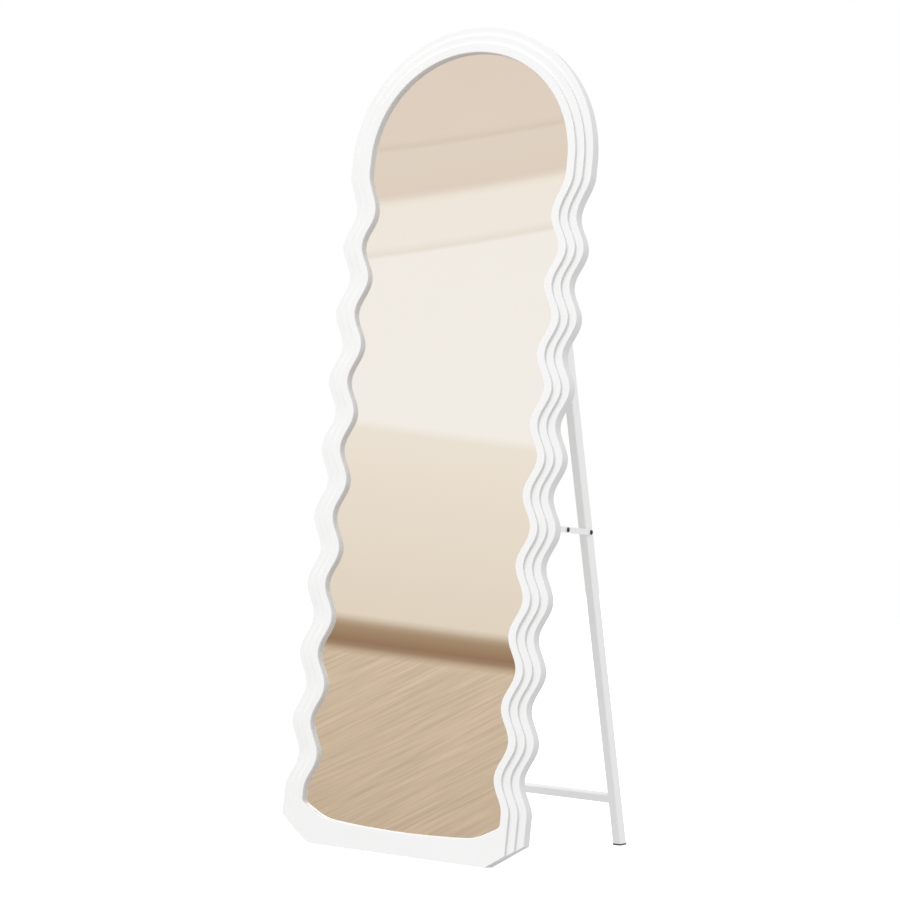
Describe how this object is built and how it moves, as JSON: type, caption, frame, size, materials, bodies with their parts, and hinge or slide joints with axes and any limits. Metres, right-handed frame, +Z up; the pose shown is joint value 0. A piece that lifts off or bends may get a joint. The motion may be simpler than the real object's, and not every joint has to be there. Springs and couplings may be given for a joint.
{
  "type": "cheval floor mirror",
  "caption": "Tall arched floor mirror with a wavy stepped frame, leaning on a folding rear stand with hinged legs, a crossbar and folding stays.",
  "frame": {"origin": "on the floor, under the middle of the standing mirror's overall box", "axes": "+X across the mirror to the viewer's right, +Y from the glass towards the rear stand, +Z up"},
  "size_m": [0.532, 0.5844, 1.6251],
  "materials": {
    "frame_paint": "matt white lacquer on moulded rigid foam",
    "mirror": "silvered float glass",
    "foam": "expanded foam sheet",
    "board": "white-faced hardboard",
    "zinc": "zinc-plated steel",
    "white_metal": "satin white powder coat",
    "black_plastic": "black moulded plastic",
    "nylon": "natural nylon",
    "rubber": "black rubber"
  },
  "bodies": {
    "mirror": {"frame": "frame_paint", "mirror_glass": "mirror", "foam_sheet": "foam", "back_board": "board", "back_board_screws": "zinc", "hinge_bracket_left": "white_metal", "hinge_bracket_right": "white_metal", "hinge_bracket_screws": "zinc", "hinge_bolt_left": "zinc", "hinge_bolt_right": "zinc", "hinge_nut_left": "zinc", "hinge_nut_right": "zinc", "stay_bracket_left": "white_metal", "stay_bracket_right": "white_metal", "stay_bracket_screws": "zinc", "stay_bracket_pin_left": "black_plastic", "stay_bracket_pin_right": "black_plastic"},
    "stand": {"leg_left": "white_metal", "leg_right": "white_metal", "leg_end_cap_left": "black_plastic", "leg_end_cap_right": "black_plastic", "foot_pad_left": "rubber", "foot_pad_right": "rubber", "crossbar": "white_metal", "stay_leg_pin_left": "black_plastic", "stay_leg_pin_right": "black_plastic", "stay_washer_left": "nylon", "stay_washer_right": "nylon", "stay_leg_nut_left": "zinc", "stay_leg_nut_right": "zinc"},
    "front_stay_left": {"stay_front_bar_left": "white_metal", "stay_knuckle_pin_left": "black_plastic"},
    "rear_stay_left": {"stay_rear_bar_left": "white_metal"},
    "front_stay_right": {"stay_front_bar_right": "white_metal", "stay_knuckle_pin_right": "black_plastic"},
    "rear_stay_right": {"stay_rear_bar_right": "white_metal"}
  },
  "joints": [
    {"name": "stand_fold", "type": "hinge", "parent": "mirror", "child": "stand", "pos_m": [0, -0.157, 1.02334], "axis": [1, 0, 0], "range_deg": [-27.3, 0]},
    {"name": "front_stay_swing_left", "type": "hinge", "parent": "mirror", "child": "front_stay_left", "pos_m": [-0.2338, -0.18585, 0.64844], "axis": [1, 0, 0], "range_deg": [0, 87.24]},
    {"name": "rear_stay_swing_left", "type": "hinge", "parent": "stand", "child": "rear_stay_left", "pos_m": [-0.2318, 0.00351, 0.64335], "axis": [1, 0, 0], "range_deg": [-65.66, 0]},
    {"name": "front_stay_swing_right", "type": "hinge", "parent": "mirror", "child": "front_stay_right", "pos_m": [0.2338, -0.18585, 0.64844], "axis": [1, 0, 0], "range_deg": [0, 87.24]},
    {"name": "rear_stay_swing_right", "type": "hinge", "parent": "stand", "child": "rear_stay_right", "pos_m": [0.2318, 0.00351, 0.64335], "axis": [1, 0, 0], "range_deg": [-65.66, 0]}
  ],
  "couplings": [
    {"joint": "front_stay_swing_left", "follows": "stand_fold", "ratio": -3.192},
    {"joint": "rear_stay_swing_left", "follows": "stand_fold", "ratio": 2.4014},
    {"joint": "front_stay_swing_right", "follows": "stand_fold", "ratio": -3.192},
    {"joint": "rear_stay_swing_right", "follows": "stand_fold", "ratio": 2.4014}
  ]
}
